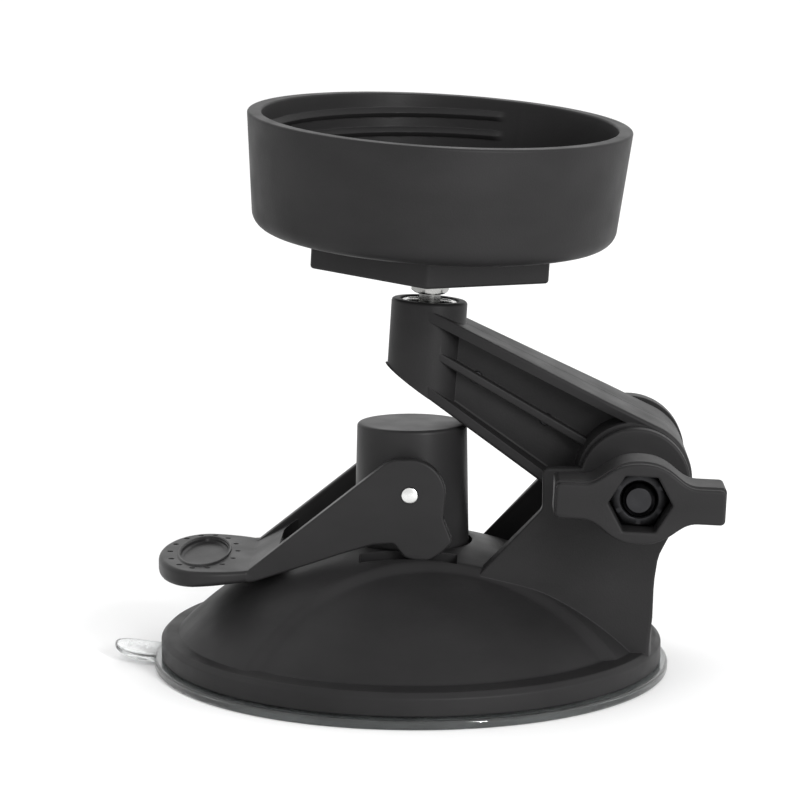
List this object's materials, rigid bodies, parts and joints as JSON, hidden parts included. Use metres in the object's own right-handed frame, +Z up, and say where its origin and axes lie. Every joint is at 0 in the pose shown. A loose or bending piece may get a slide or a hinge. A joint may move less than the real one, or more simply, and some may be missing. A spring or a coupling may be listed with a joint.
{
  "type": "suction mount with threaded cup",
  "caption": "Lever-lock suction mount: round vacuum base, clamped tilting arm, ball stud, hexagonal plate and open threaded cup.",
  "frame": {"origin": "centre of the suction pad's flat sealing face", "axes": "+Z up from the sealing face, +X from the thumb lever towards the clamp bracket, -Y towards the wing knob's side"},
  "size_m": [0.116, 0.1, 0.1093],
  "materials": {
    "black_plastic": "fine moulded grain",
    "clear_pad": "clear soft gel",
    "steel": "bright",
    "dark_steel": "dark plated",
    "nylon": "smooth"
  },
  "bodies": {
    "base": {"base_housing": "black_plastic", "suction_pad": "clear_pad", "return_spring": "steel", "clamp_bolt": "dark_steel", "knob_washer": "steel", "friction_disc_near": "nylon", "friction_disc_far": "nylon"},
    "plunger": {"plunger_column": "black_plastic", "pad_core": "nylon", "lever_pin": "steel"},
    "lever_body": {"lever": "black_plastic"},
    "arm": {"arm_near_half": "black_plastic", "arm_far_half": "black_plastic", "arm_screw_1": "dark_steel", "arm_screw_2": "dark_steel", "socket_ring": "steel"},
    "seat_low": {"ball_seat_lower": "nylon"},
    "seat_high": {"ball_seat_upper": "nylon"},
    "head": {"holder_cup": "black_plastic", "mount_plate": "black_plastic", "ball_stud": "steel", "stud_collar": "steel", "stud_washer": "steel", "stud_nut": "steel", "cup_screw_1": "steel", "cup_screw_2": "steel", "cup_screw_3": "steel"},
    "knob": {"wing_knob": "black_plastic", "knob_nut": "dark_steel"}
  },
  "joints": [
    {"name": "plunger_slide", "type": "slide", "parent": "base", "child": "plunger", "axis": [0, 0, 1], "range_m": [-0.003, 0], "deforming": ["return_spring", "suction_pad"]},
    {"name": "lever_throw", "type": "hinge", "parent": "plunger", "child": "lever_body", "pos_m": [0, 0, 0.036], "axis": [0, 1, 0], "range_deg": [0, 75]},
    {"name": "arm_tilt", "type": "hinge", "parent": "base", "child": "arm", "pos_m": [0.0423, 0, 0.039], "axis": [0, 1, 0], "range_deg": [0, 100]},
    {"name": "head_tilt_x", "type": "hinge", "parent": "arm", "child": "seat_low", "pos_m": [0.0028, 0, 0.064], "axis": [1, 0, 0], "range_deg": [-12, 6]},
    {"name": "head_tilt_y", "type": "hinge", "parent": "seat_low", "child": "seat_high", "pos_m": [0.0028, 0, 0.064], "axis": [0, 1, 0], "range_deg": [-11, 7]},
    {"name": "head_spin", "type": "hinge", "parent": "seat_high", "child": "head", "pos_m": [0.0028, 0, 0.064], "axis": [0.0541, -0.0731, 0.9959], "continuous": true},
    {"name": "knob_turn", "type": "hinge", "parent": "base", "child": "knob", "pos_m": [0.0423, 0, 0.039], "axis": [0, -1, 0], "continuous": true}
  ],
  "couplings": [
    {"joint": "plunger_slide", "follows": "lever_throw", "m_per_rad": -0.00228}
  ]
}
